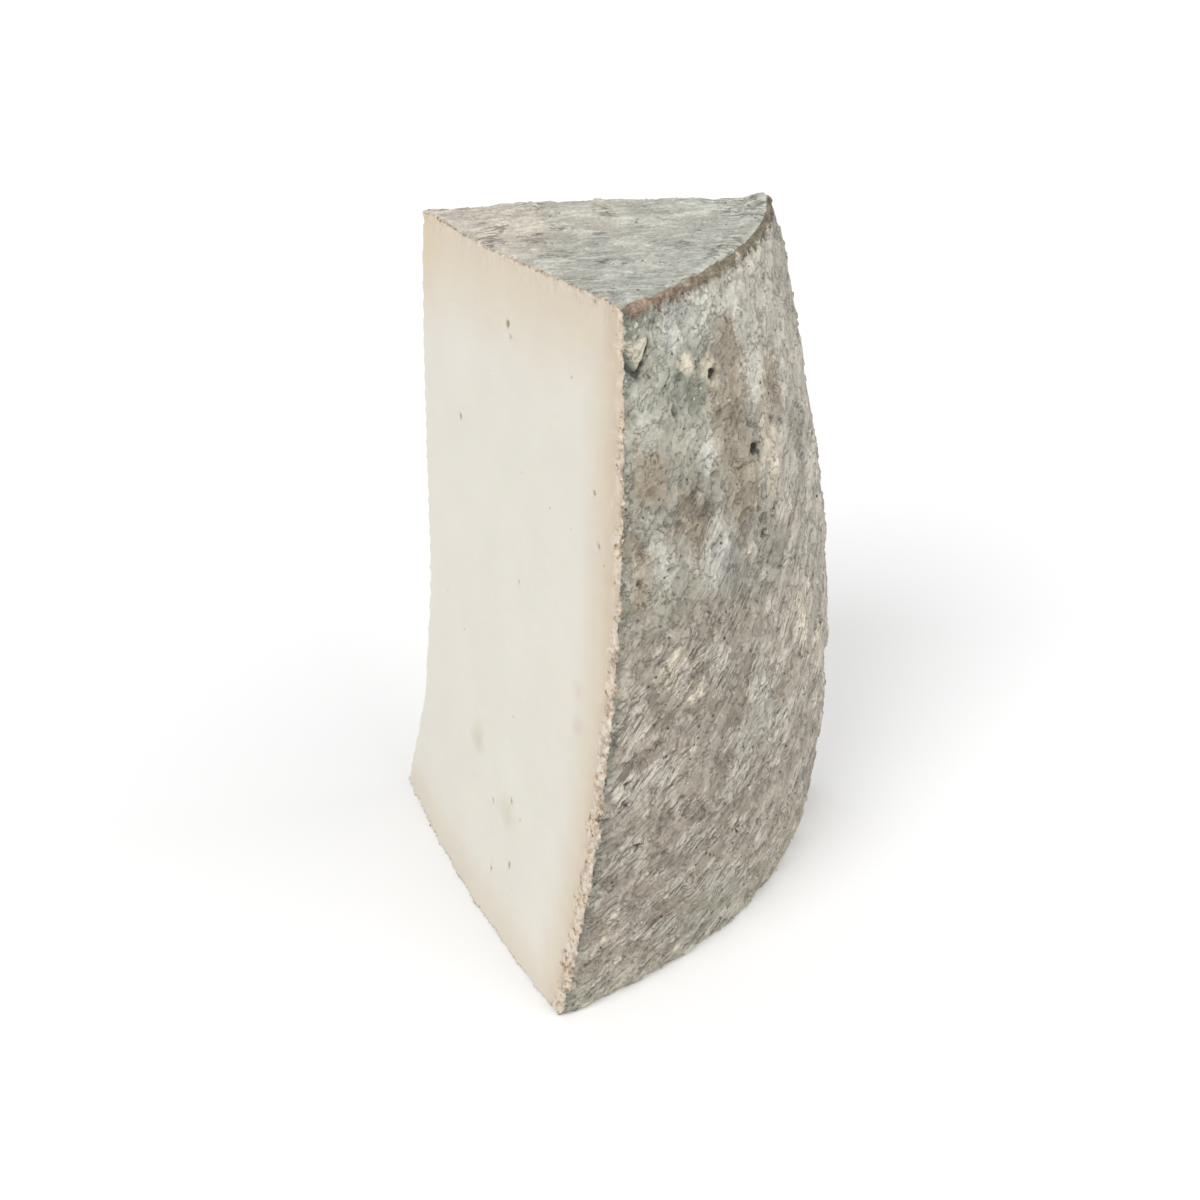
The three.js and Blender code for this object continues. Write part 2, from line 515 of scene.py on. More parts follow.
# %% [markdown]
# ## The crumbly edge
# Paste cuts clean, but the dry rind tears, so the cut's edge along the heel is a ragged band of crumbs.
# Voronoi cells make the crumbs: each cell's middle stands up as a grain, and the gaps between fall away.
# The band's width wanders, and the corner itself is chipped back in scallops.

# %% Crumble the edges
CRUMB_SIZE = 1.35
CHIP_SIZE = 4.2
CHIP_DEPTH = 0.50
lower = ease_between(up, 0.8, 0.35)
edge_zone = ease_between(near["rind"], 9, 7) * ease_between(near["cut"], 4, 3)
edge_noise = layer(edge_zone, points, 8, cloudy)
crumb_width = 2.6 + 3.0 * lower + 3.0 * edge_noise
heel_edge = ease_between(near["heel"] / crumb_width, 1.0, 0.3) * ease_between(near["cut"], 1.5, 0.4)
flat_edge = ease_between(near["top"], 2.6, 0.4) * ease_between(near["cut"], 1.2, 0.4)
edges = np.maximum(heel_edge, flat_edge)
crumbs = 0.45 - layer(edges, points, CRUMB_SIZE, grains)
scallops = layer(edges, points + 9, CHIP_SIZE, rough)
corner = ease_between(np.maximum(near["heel"], near["cut"]), 2.6, 0.3)
front_side = ease_between(near["rear"], 1.0, 4.0)
grained = (0.40 + 0.50 * lower) * crumbs + 0.25 * scallops - 0.15
relief += heel_edge * (0.5 + 0.5 * front_side) * grained
relief += flat_edge * 0.35 * scallops
chipped = ease_between(points[:, 2], 1.0, 7.0) * (0.4 + 0.6 * front_side)
relief += corner * chipped * (0.9 * scallops - CHIP_DEPTH)
print("The crumbs reach up to", round(float(crumb_width[edge_zone > 0.5].max()), 1), "mm in from the heel")

# %% [markdown]
# ## Moving the points
# Every layer so far is a height, and now each point moves by it along its own normal. Relief and swell
# were kept apart until here, because the materials paint light and shade by the relief alone.

# %% Push the relief out
normals = np.empty(len(points) * 3, np.float32)
cheese.data.vertex_normals.foreach_get("vector", normals)
normals = normals.reshape(-1, 3)
moved = points + normals * (relief + swell)[:, None]
print("The relief alone spans", round(float(np.ptp(relief)), 2), "mm")

# %% [markdown]
# ## Broad bends
# Cheese settles a little as it stands. Three broad moves bend whole regions: the top swells towards its
# back edge, the front cut sags outwards at its foot, and the rim's back corner stands up in a small horn. No
# point may go below the floor, so the base stays a true plane.

# %% Bend the broad shapes
DOME = 2.3
FOOT = 2.6
HORN = 1.9
FLAT_RADIUS = 100  # millimetres from the tip to the top's rim
from_tip = np.clip(sheet[:, 1] / FLAT_RADIUS, 0, 1)
arch = np.sin(math.pi * from_tip) ** 0.7
dome = DOME * arch * ease_between(near["rear"], 26, 0) * ease_between(points[:, 2], 0.8 * HEIGHT, HEIGHT)
foot = FOOT * arch * ease_between(near["front"], 22, 0) * ease_between(points[:, 2], 32, 0)
BACK_CORNER = (31.0, 50.0, HEIGHT)
horn = HORN * ease_between(away_from(BACK_CORNER), 6.5, 1.0)
FRONT_OUT = np.array((-0.48, -0.87, 0.0))
moved += foot[:, None] * FRONT_OUT
moved[:, 2] += dome + horn
moved[:, 2] = np.maximum(moved[:, 2], 0)
cheese.data.vertices.foreach_set("co", (moved * MM).astype(np.float32).ravel())
print("The points moved by up to", round(float(np.linalg.norm(moved - points, axis=1).max()), 2), "mm")

# %% [markdown]
# ## Handing the measurements to the materials
# The materials paint by the same distances that shaped the mesh, so these are stored on it as named
# attributes. A few broad colour patches are painted here too, as soft ovals on the unrolled sheet: it is
# the code version of vertex painting, and the materials will fray the ovals' edges with noise.

# %% Paint the patches and store the attributes
# Each spot is its arc and height on the unrolled heel, then its reach sideways and upwards.
BROWN_SPOTS = [
    (-3, 129, 10, 13),
    (-32, 124, 6, 7),
    (-39, 108, 5, 10),
    (-22, 112, 7, 6),
    (2, 141, 5, 7),
    (17, 128, 6, 12),
    (-2, 112, 8, 7),
]
BLOOM_SPOTS = [
    (-13, 150, 8, 4),
    (-6, 152, 10, 5),
    (9, 138, 9, 14),
    (24, 135, 14, 24),
    (-27, 103, 9, 5),
    (-14, 99, 10, 7),
    (-15, 125, 6, 6),
    (-3, 74, 5, 8),
    (-7, 57, 9, 6),
]
STRAW_SPOTS = [
    (11, 116, 5, 11),
    (-16, 143, 4, 3),
    (-30, 80, 7, 10),
    (17, 69, 4, 9),
    (-8, 139, 4, 4),
    (-53, 18, 5, 4),
    (27, 60, 4, 16),
]


def store(name, values):
    """Keeps a value or a vector for every point, under a name that materials can read."""
    kind, field = ("FLOAT_VECTOR", "vector") if values.ndim == 2 else ("FLOAT", "value")
    made = cheese.data.attributes.new(name, kind, "POINT")
    made.data.foreach_set(field, values.astype(np.float32).ravel())


straw = np.maximum(painted(STRAW_SPOTS), 0.8 * flake)
fresh = ease_between(away_from(FRONT_CORNER), 26, 5)
MOST_SPILT = 1.8  # how far crumbs spill onto the heel beside the rear cut
spilt = MOST_SPILT * ease_between(np.abs(up - 0.52), 0.28, 0.16) * heel
store("rind_depth", near["rind"])
store("heel_gap", near["heel"])
store("top_gap", near["top"])
store("cut_gap", np.minimum(near["front"], near["rear"] - spilt))
store("flatness", flats)
# The relief is read only for painted light and shade: its rises are lightened and its low parts darkened.
store("relief", relief)
# hollow is how deep each hole, crack, groove and eye is, and the materials darken it as painted shade.
store("hollow", np.maximum(np.maximum(heel * holes, cracks), cut * eyes))
store("crusty", crusty)
store("fresh", fresh)
store("tip_corner", ease_between(sheet[:, 1], 34, 4))
store("stains", stains)
store("patches", np.stack([painted(BROWN_SPOTS), painted(BLOOM_SPOTS), straw], axis=1))
print([attribute.name for attribute in cheese.data.attributes if not attribute.is_internal])

# %% [markdown]
# ## Thinning the mesh
# The even skin spends as many faces on the smooth paste as on the rough rind. Decimate takes faces away
# where the surface is smooth and keeps them where it isn't, and it carries the stored attributes along.

# %% Thin the skin and sort its faces
MOST_FACES = 196_000
before = sum(len(face.vertices) - 2 for face in cheese.data.polygons)
thin = cheese.modifiers.new("thin", "DECIMATE")
thin.ratio = min(1.0, MOST_FACES / before)
apply_modifiers(cheese)
cheese.data.shade_smooth()


def stored(name):
    values = np.empty(len(cheese.data.vertices), np.float32)
    cheese.data.attributes[name].data.foreach_get("value", values)
    return values


first_corner = np.array([face.vertices[0] for face in cheese.data.polygons])
is_paste = (stored("cut_gap") < stored("rind_depth"))[first_corner]
print("The thinned skin has", sum(len(face.vertices) - 2 for face in cheese.data.polygons), "triangles")

# %% [markdown]
# ## Writing shader nodes as sentences
# A procedural material soon has fifty nodes, and fifty blocks of node-making code can't be read. This
# small class adds one node per call and hands back its output, so that a colour is written the way it
# is mixed: a base, then one colour laid over another through a mask. All sizes are in millimetres, and
# places are the object's own coordinates, so the pattern stays on the cheese when the cheese moves.

# %% Shader nodes as short calls


class Recipe:
    """Adds nodes to one node tree. Every method returns the new node's output."""

    def __init__(self, tree):
        self.tree = tree

    def node(self, kind, inputs, **settings):
        made = self.tree.nodes.new("ShaderNode" + kind)
        for name, value in settings.items():
            setattr(made, name, value)
        for name, value in inputs.items():
            if isinstance(value, bpy.types.NodeSocket):
                self.tree.links.new(value, made.inputs[name])
            else:
                made.inputs[name].default_value = value
        return made

    def place(self):
        """The object's own coordinates, in millimetres."""
        own = self.node("TexCoord", {}).outputs["Object"]
        return self.node("VectorMath", {0: own, "Scale": 1 / MM}, operation="SCALE").outputs[0]

    def attribute(self, name):
        return self.node("Attribute", {}, attribute_name=name).outputs["Fac"]

    def vector_attribute(self, name):
        return self.node("Attribute", {}, attribute_name=name).outputs["Vector"]

    def parts(self, vector):
        """The three numbers of a vector."""
        return self.node("SeparateXYZ", {0: vector}).outputs[:]

    def wheel(self, place):
        """Arc, radius and height of a place on the unrolled wheel."""
        x, y, z = self.parts(place)
        across = self.node("CombineXYZ", {0: self.plus(x, -tip[0]), 1: self.plus(y, -tip[1])}).outputs[0]
        east, north, _ = self.parts(across)
        radius = self.node("VectorMath", {0: across}, operation="LENGTH").outputs["Value"]
        arc = self.times(self.maths("ARCTAN2", north, east), WHEEL_RADIUS)
        return self.node("CombineXYZ", {0: arc, 1: radius, 2: z}).outputs[0]

    def turned(self, place, turn, size):
        """Coordinates turned by three angles in degrees, in which one unit is size millimetres."""
        angles = [math.radians(angle) for angle in turn]
        inputs = {"Vector": place, "Rotation": angles, "Scale": size}
        return self.node("Mapping", inputs, vector_type="TEXTURE").outputs[0]

    def bent(self, place, size, far):
        """Coordinates pushed about by a broad noise, so that straight patterns wander."""
        push = self.node("TexNoise", {"Vector": place, "Scale": 1 / size, "Detail": 0.0}).outputs[1]
        push = self.node("VectorMath", {0: push, 1: (0.5, 0.5, 0.5)}, operation="SUBTRACT").outputs[0]
        inputs = {0: push, 1: (far, far, far), 2: place}
        return self.node("VectorMath", inputs, operation="MULTIPLY_ADD").outputs[0]

    def noise(self, place, size, detail=3.0, rough=0.5, shift=0.0):
        """Noise with features about size across. Each shift gives another noise of the same kind."""
        inputs = {"Vector": place, "Scale": 1 / size, "Detail": detail, "Roughness": rough, "W": shift}
        return self.node("TexNoise", inputs, noise_dimensions="4D").outputs[0]

    def streaks(self, place, turn, size, **settings):
        """Noise turned by three angles and stretched to three sizes."""
        return self.noise(self.turned(place, turn, size), 1, **settings)

    def cells(self, place, size):
        return self.node("TexVoronoi", {"Vector": place, "Scale": 1 / size}).outputs["Distance"]

    def mask(self, value, start, end, most=1.0):
        """0 before start and most after end, easing between. start may be above end."""
        inputs = {"Value": value, "From Min": start, "From Max": end, "To Max": most}
        return self.node("MapRange", inputs, interpolation_type="SMOOTHSTEP").outputs[0]

    def maths(self, operation, first, second):
        return self.node("Math", {0: first, 1: second}, operation=operation).outputs[0]

    def plus(self, first, second):
        return self.maths("ADD", first, second)

    def times(self, first, second):
        return self.maths("MULTIPLY", first, second)

    def larger(self, first, second):
        return self.maths("MAXIMUM", first, second)

    def creases(self, value, width):
        """1 along the thin lines where a noise crosses a half."""
        off = self.maths("ABSOLUTE", self.plus(value, -0.5), 0.0)
        return self.mask(off, width, 0.3 * width)

    def frayed(self, value, pattern, far):
        """value pushed up and down by a pattern that swings round a half, by up to about half of far."""
        return self.plus(value, self.times(self.plus(pattern, -0.5), far))

    def over(self, base, colour, mask, blend="MIX"):
        """colour laid over base through a mask."""
        made = self.node("Mix", {0: mask}, data_type="RGBA", blend_type=blend)
        for socket, value in ((made.inputs[6], base), (made.inputs[7], colour)):
            if isinstance(value, bpy.types.NodeSocket):
                self.tree.links.new(value, socket)
            else:
                socket.default_value = (*value, 1)
        return made.outputs[2]

    def ramp(self, value, stops):
        """Colours along a value, from (position, colour) stops."""
        made = self.node("ValToRGB", {0: value})
        ramp = made.color_ramp
        while len(ramp.elements) < len(stops):
            ramp.elements.new(1.0)
        for element, (position, colour) in zip(ramp.elements, stops):
            element.position = position
            element.color = (*colour, 1)
        return made.outputs[0]

    def shade(self, base, value, dark, light):
        """base made darker or lighter by a value that swings round a half."""
        inputs = {"Value": value, "From Min": 0.3, "From Max": 0.7, "To Min": dark, "To Max": light}
        swing = self.node("MapRange", inputs).outputs[0]
        grey = self.node("CombineColor", {0: swing, 1: swing, 2: swing}).outputs[0]
        return self.over(base, grey, 1.0, "MULTIPLY")

    def bump(self, height, far):
        return self.node("Bump", {"Height": height, "Distance": far * MM}).outputs[0]


def new_material(name):
    """A material, its recipe and its Principled node."""
    made = bpy.data.materials.new(name)
    made.use_nodes = True
    return made, Recipe(made.node_tree), made.node_tree.nodes["Principled BSDF"]


print("A recipe has", len([name for name in dir(Recipe) if not name.startswith("_")]), "kinds of step")

# %% [markdown]
# ## Crumbs, for both finishes
# Where the knife tore through the rind, the broken edge shows pinkish cream, ochre and white crumbs.
# They belong to the paste and to the rind alike, so they are a node group with a place going in and a
# colour and a height coming out, built once and placed in both materials.

# %% Build the crumbs group
DARK_BROWN = (0.15, 0.11, 0.075)
OCHRE = (0.50, 0.35, 0.20)
PINK_CREAM = (0.66, 0.54, 0.43)
MOULD_GREY = (0.36, 0.31, 0.25)
CREAM = (0.74, 0.66, 0.54)
WHITE_CREAM = (0.82, 0.78, 0.69)


def crumbs_group():
    """The group that turns a place into a crumb's colour and height."""
    tree = bpy.data.node_groups.new("crumbs", "ShaderNodeTree")
    tree.interface.new_socket("Place", in_out="INPUT", socket_type="NodeSocketVector")
    tree.interface.new_socket("Color", in_out="OUTPUT", socket_type="NodeSocketColor")
    tree.interface.new_socket("Height", in_out="OUTPUT", socket_type="NodeSocketFloat")
    recipe = Recipe(tree)
    place = tree.nodes.new("NodeGroupInput").outputs["Place"]
    tone = recipe.noise(place, 1.3, detail=5, rough=0.65)
    tone = recipe.frayed(tone, recipe.noise(place, 7, detail=2, shift=2.0), 0.22)
    colour = recipe.ramp(
        tone,
        [(0.36, DARK_BROWN), (0.42, OCHRE), (0.47, PINK_CREAM), (0.57, CREAM), (0.68, WHITE_CREAM)],
    )
    mouldy = recipe.noise(place, 4.5, detail=6, rough=0.72, shift=5.5)
    colour = recipe.over(colour, MOULD_GREY, recipe.mask(mouldy, 0.52, 0.62, most=0.75))
    height = recipe.plus(tone, recipe.times(recipe.noise(place, 0.6, detail=2), 0.5))
    result = tree.nodes.new("NodeGroupOutput")
    tree.links.new(colour, result.inputs["Color"])
    tree.links.new(height, result.inputs["Height"])
    return tree


CRUMBS = crumbs_group()
MEAN_CRUMB = 0.75  # the crumbs' average height, taken off so that they rise and fall round the surface
BUMP_FAR = 0.6  # millimetres that a bump of height 1 stands for


def crumbs_in(recipe, place):
    """The crumbs group placed in a material: its colour and its height."""
    made = recipe.node("Group", {}, node_tree=CRUMBS)
    recipe.tree.links.new(place, made.inputs["Place"])
    return made.outputs["Color"], made.outputs["Height"]


print("The crumbs group has", len(CRUMBS.nodes), "nodes")

# %% [markdown]
# ## The paste
# Cut cheese is ivory in the middle. It dries from the rind inwards, so it turns buttery and then peachy
# as it nears the outside, most of all down the heel. Light goes a little way into it before it comes
# back out, and subsurface scattering makes that soft look.

# %% Mix the paste
IVORY = (0.670, 0.640, 0.570)
BUTTER = (0.610, 0.535, 0.420)
PEACH = (0.555, 0.450, 0.340)
SMEAR = (0.66, 0.585, 0.50)
OCHRE_TINT = (0.60, 0.45, 0.25)
STAIN = (0.52, 0.455, 0.35)
# Brown for the paste's freckles, and painted shade in its eyes.
EYE_SHADE_AND_FRECKLE = (0.30, 0.23, 0.15)
MOULD_LINE = (0.24, 0.22, 0.18)


def paste_material():
    """The paste's material and its recipe."""
    made, recipe, shader = new_material("paste")
    place = recipe.place()
    heel_gap, top_gap, depth = (recipe.attribute(name) for name in ("heel_gap", "top_gap", "rind_depth"))
    wander = recipe.noise(place, 14, detail=4)
    warmth = recipe.larger(
        recipe.mask(recipe.frayed(heel_gap, wander, 8), 19, 4),
        recipe.mask(recipe.frayed(top_gap, wander, 14), 26, 3, most=0.9),
    )
    warmth = recipe.larger(warmth, recipe.mask(recipe.frayed(depth, wander, 6), 14, 2, most=0.6))
    colour = recipe.over(IVORY, BUTTER, warmth)
    peach = recipe.mask(recipe.frayed(heel_gap, wander, 6), 7.5, 2.0, most=0.8)
    colour = recipe.over(colour, PEACH, peach)
    corner = recipe.times(recipe.mask(top_gap, 30, 2), recipe.attribute("tip_corner"))
    colour = recipe.over(colour, OCHRE_TINT, recipe.times(corner, 0.85))
    wavering = recipe.bent(place, 4, 2)
    smeared = recipe.streaks(wavering, (0, 0, 0), (1.6, 1.6, 3.5), detail=7, rough=0.75)
    near_rind = recipe.larger(recipe.mask(heel_gap, 8.0, 2.0), recipe.mask(top_gap, 7.5, 1.5))
    smear = recipe.times(recipe.mask(smeared, 0.50, 0.60, most=0.6), near_rind)
    colour = recipe.over(colour, SMEAR, smear)
    colour = recipe.over(colour, STAIN, recipe.attribute("stains"))
    colour = recipe.shade(colour, recipe.noise(place, 18, detail=4, rough=0.6), 0.975, 1.025)
    freckles = recipe.mask(recipe.cells(place, 9), 0.055, 0.03)
    colour = recipe.over(colour, EYE_SHADE_AND_FRECKLE, recipe.times(freckles, 0.45))
    # Painted shade in the eyes and cracks that open in the paste.
    colour = recipe.over(colour, EYE_SHADE_AND_FRECKLE, recipe.mask(recipe.attribute("hollow"), 0.35, 0.9, most=0.9))
    ragged = recipe.noise(place, 2.4, detail=6, rough=0.7)
    low_down = recipe.mask(recipe.parts(place)[2], 125, 55, most=-2.6)
    wide = recipe.plus(heel_gap, low_down)
    wide = recipe.frayed(wide, recipe.noise(place, 9, detail=2, shift=1.1), 7.0)
    torn = recipe.mask(recipe.frayed(wide, ragged, 7.0), 2.0, 0.9)
    torn = recipe.larger(torn, recipe.mask(recipe.frayed(depth, ragged, 2.6), 0.6, 0.2))
    crumb_colour, crumb_height = crumbs_in(recipe, place)
    colour = recipe.over(colour, crumb_colour, torn)
    outline = recipe.frayed(depth, recipe.noise(place, 2.6, detail=5), 2.4)
    colour = recipe.over(colour, MOULD_LINE, recipe.mask(outline, 0.35, 0.05, most=0.4))
    recipe.tree.links.new(colour, shader.inputs["Base Color"])
    shader.inputs["Roughness"].default_value = 0.55
    shader.inputs["Subsurface Weight"].default_value = 0.25
    shader.inputs["Subsurface Radius"].default_value = (1.0, 0.75, 0.45)
    shader.inputs["Subsurface Scale"].default_value = 3 * MM
    drag = recipe.streaks(place, (0, 0, 0), (3, 3, 22), detail=3)
    crumbly = recipe.times(recipe.plus(crumb_height, -MEAN_CRUMB), torn)
    height = recipe.plus(recipe.times(drag, 0.12), recipe.times(crumbly, 1.6))
    height = recipe.plus(height, recipe.times(recipe.times(smeared, near_rind), 0.35))
    recipe.tree.links.new(recipe.bump(height, BUMP_FAR), shader.inputs["Normal"])
    return made, recipe


paste, paste_recipe = paste_material()
print("The paste has", len(paste_recipe.tree.nodes), "nodes")

# %% [markdown]
# ## The heel's colours
# Mould covers the heel in layers, and it is mixed the same way, broadest first. A grey-green bloom covers
# the upper third, the middle is a warmer grey, the lower half taupe, and moss grows where the wheel stood.
# Then come whitish bloom, brown patches and straw-coloured spots. Each is partly painted in the
# patches attribute and partly noise, so a patch lies where it should but its edge is never a plain oval.

# %% Mix the heel
DEEP = 40.0  # millimetres of radius; so thick that the relief doesn't bend a pattern
UPPER_GREY = (0.375, 0.365, 0.30)
DEEP_GREEN = (0.20, 0.22, 0.18)
MIDDLE_GREY = (0.35, 0.328, 0.27)
TAUPE = (0.305, 0.268, 0.218)
MOSS = (0.38, 0.36, 0.285)
BLOOM = (0.605, 0.60, 0.545)
UMBER = (0.315, 0.26, 0.19)
STRAW = (0.68, 0.61, 0.48)
ASH = (0.515, 0.475, 0.405)
# Painted shade for crevices: the cloth's grooves and folds, the crust's low parts and plate edges, and dark
# scratches.
PAINTED_CREVICE_SHADE = (0.12, 0.108, 0.085)


def heel_colour(recipe, wheel, strokes, brown_spots, bloom_spots, straw_spots):
    """The curved side, from broad patches down to fine ones."""
    arc, _, up = recipe.parts(wheel)
    cloud = recipe.noise(wheel, 24, detail=5, rough=0.6)
    level = recipe.frayed(up, cloud, 60)
    colour = recipe.over(UPPER_GREY, MIDDLE_GREY, recipe.mask(level, 136, 112))
    colour = recipe.over(colour, TAUPE, recipe.mask(level, 104, 76))
    colour = recipe.over(colour, MOSS, recipe.mask(level, 24, 2))
    damp = recipe.streaks(wheel, (0, -60, 0), (16, DEEP, 9), detail=4, rough=0.6, shift=1.7)
    damp = recipe.frayed(damp, recipe.mask(up, 120, 150), 0.16)
    damp = recipe.times(recipe.mask(damp, 0.50, 0.68), recipe.mask(up, 118, 140, most=0.75))
    colour = recipe.over(colour, DEEP_GREEN, damp)
    wavering = recipe.bent(wheel, 20, 8)
    soft = recipe.streaks(wavering, (0, -48, 0), (24, DEEP, 10), detail=5, rough=0.62, shift=3.1)
    bloom = recipe.plus(soft, recipe.times(bloom_spots, 0.20))
    strength = recipe.plus(recipe.mask(up, 80, 105, most=0.5), 0.3)
    colour = recipe.over(colour, BLOOM, recipe.times(recipe.mask(bloom, 0.48, 0.74), strength))
    ashen = recipe.streaks(wheel, (0, -36, 0), (22, DEEP, 8), detail=5, rough=0.6, shift=6.1)
    lower = recipe.mask(up, 110, 80, most=0.42)
    colour = recipe.over(colour, ASH, recipe.times(recipe.mask(ashen, 0.42, 0.74), lower))
    far_side = recipe.mask(recipe.frayed(arc, cloud, 50), -12, 22, most=0.75)
    colour = recipe.over(colour, ASH, recipe.times(far_side, recipe.mask(up, 5, 75)))
    fretted = recipe.streaks(wheel, (0, -60, 0), (9, DEEP, 6), detail=8, rough=0.72, shift=8.4)
    brown = recipe.plus(fretted, recipe.times(brown_spots, 0.22))
    colour = recipe.over(colour, UMBER, recipe.mask(brown, 0.54, 0.72, most=0.75))
    yellow = recipe.noise(wheel, 9, detail=6, rough=0.66, shift=5.7)
    yellow = recipe.plus(yellow, recipe.times(straw_spots, 0.30))
    streaky = recipe.larger(recipe.mask(strokes, 0.44, 0.56), recipe.mask(up, 92, 104, most=0.8))
    yellow = recipe.times(recipe.mask(yellow, 0.60, 0.78, most=0.9), streaky)
    return recipe.over(colour, STRAW, yellow)


print("A heel pattern is", DEEP, "mm deep, so the relief doesn't bend it")

# %% [markdown]
# ## The flats' colours and the rim
# The top and base are paler and drier than the heel, beige towards the tip and greener towards the rim.
# The rim itself is worn to a thin brown line, pink where it is freshest, with pale crumbs below it.

# %% Mix the flats and the rim
FLAT_GREY = (0.76, 0.755, 0.67)
FLAT_BEIGE = (0.88, 0.805, 0.69)
FLAT_GREEN = (0.66, 0.68, 0.60)
FLAT_WHITE = (0.93, 0.91, 0.84)
RIM_BROWN = (0.18, 0.15, 0.10)
RIM_PINK = (0.42, 0.29, 0.21)
LICHEN = (0.60, 0.58, 0.48)


def flat_colour(recipe, place, wheel, cloth):
    """The top and base: beige, grey and green from the tip outwards, with painted shade in the cloth's folds
    and low lines and painted light on its raised lines.
    """
    _, radius, _ = recipe.parts(wheel)
    cloud = recipe.noise(place, 22, detail=5, rough=0.6, shift=4.0)
    outward = recipe.frayed(radius, cloud, 150)
    colour = recipe.over(FLAT_BEIGE, FLAT_GREY, recipe.mask(outward, 30, 70))
    colour = recipe.over(colour, FLAT_GREEN, recipe.mask(outward, 75, 125, most=0.55))
    along = (0, 0, CLOTH_ANGLE)
    patch = recipe.streaks(place, along, (16, 6, 6), detail=6, rough=0.66, shift=7.2)
    colour = recipe.over(colour, FLAT_BEIGE, recipe.mask(patch, 0.55, 0.66, most=0.7))
    # The cloth's raised lines are laid pale, partly as pale mould and partly as painted light, and its low
    # lines get painted shade.
    colour = recipe.over(colour, FLAT_WHITE, recipe.mask(cloth, 0.56, 0.70, most=0.8))
    colour = recipe.over(colour, PAINTED_CREVICE_SHADE, recipe.mask(cloth, 0.41, 0.31, most=0.8))
    # The folds are drawn as broken dark lines of painted shade.
    fold = recipe.streaks(recipe.bent(place, 9, 3), along, (14, 1.6, 3), detail=5, shift=18.0)
    gate = recipe.mask(recipe.noise(place, 9, detail=4, shift=19.0), 0.50, 0.60)
    colour = recipe.over(colour, PAINTED_CREVICE_SHADE, recipe.times(recipe.times(recipe.creases(fold, 0.05), gate), 0.6))
    # The cloth lightens its raised lines and darkens its low lines once more: painted light and shade.
    return recipe.shade(colour, cloth, 0.58, 1.28)


def with_rim(recipe, colour, place, flatness):
    """The worn line below the rim's edge, laid over the rind's colour."""
    gap = recipe.attribute("top_gap")
    ragged = recipe.noise(place, 2.6, detail=7, rough=0.74)
    heel_side = recipe.mask(flatness, 0.75, 0.35)
    worn = recipe.mask(recipe.frayed(gap, ragged, 12.0), 1.9, 0.9, most=0.9)
    tint = recipe.over(RIM_BROWN, RIM_PINK, recipe.attribute("fresh"))
    tint = recipe.shade(tint, ragged, 0.3, 1.7)
    colour = recipe.over(colour, tint, recipe.times(worn, heel_side))
    crumbs = recipe.mask(recipe.cells(recipe.bent(place, 3, 1.5), 1.3), 0.45, 0.25)
    below = recipe.mask(recipe.frayed(gap, ragged, 6.0), 8.5, 4.5)
    below = recipe.times(below, recipe.mask(gap, 1.8, 2.8))
    scarce = recipe.mask(recipe.noise(place, 11, detail=3, shift=8.8), 0.48, 0.57)
    return recipe.over(colour, LICHEN, recipe.times(recipe.times(crumbs, below), scarce))


print("The rim runs from", RIM_PINK, "at its fresh corner to", RIM_BROWN)

# %% [markdown]
# ## Strokes and grain
# Three kinds of fine detail lie on the heel. Brush strokes are noises squeezed to less than a millimetre
# wide. Crust is a rough noise whose high parts are pale, partly as paler crust and partly as painted
# highlight, and whose low parts get painted shade, and a second noise parts it into plates. Scratches are
# the thin lines where a stretched noise crosses a half, and the dark ones are painted shade.

# %% Strokes, crust and scratches
# Pale raised crust, partly the crust's own paler colour and partly painted highlight.
PALE_CRUST_AND_HIGHLIGHT = (0.62, 0.585, 0.50)
FLECKS = (0.74, 0.70, 0.61)
# The dark scratches are painted shade in hairline cracks, the pale ones are dust.
# Each set of scratches has its turn in degrees, its noise's shift, its colour and its strength.
SCRATCHES = [(-36, 13.0, PAINTED_CREVICE_SHADE, 0.7), (-44, 14.0, FLECKS, 0.4), (-26, 16.0, FLECKS, 0.35)]


def brush_marks(recipe, wheel, up):
    """Strokes that swing round a half, calm where the brush missed, and where the brush went."""
    steep = recipe.streaks(wheel, (0, -40, 0), (16, DEEP, 0.7), detail=5, rough=0.6)
    shallow = recipe.streaks(wheel, (0, -24, 0), (18, DEEP, 0.8), detail=5, rough=0.6, shift=2.2)
    chooser = recipe.frayed(up, recipe.noise(wheel, 24, detail=3, shift=9.9), 80)
    chooser = recipe.mask(chooser, 70, 45)
    strokes = recipe.node("Mix", {0: chooser, 2: steep, 3: shallow}).outputs[0]
    missed = recipe.noise(wheel, 22, detail=4, shift=12.0)
    missed = recipe.frayed(missed, recipe.mask(up, 125, 70), 0.3)
    brushed = recipe.mask(missed, 0.42, 0.56)
    return recipe.node("Mix", {0: brushed, 2: 0.5, 3: strokes}).outputs[0], brushed


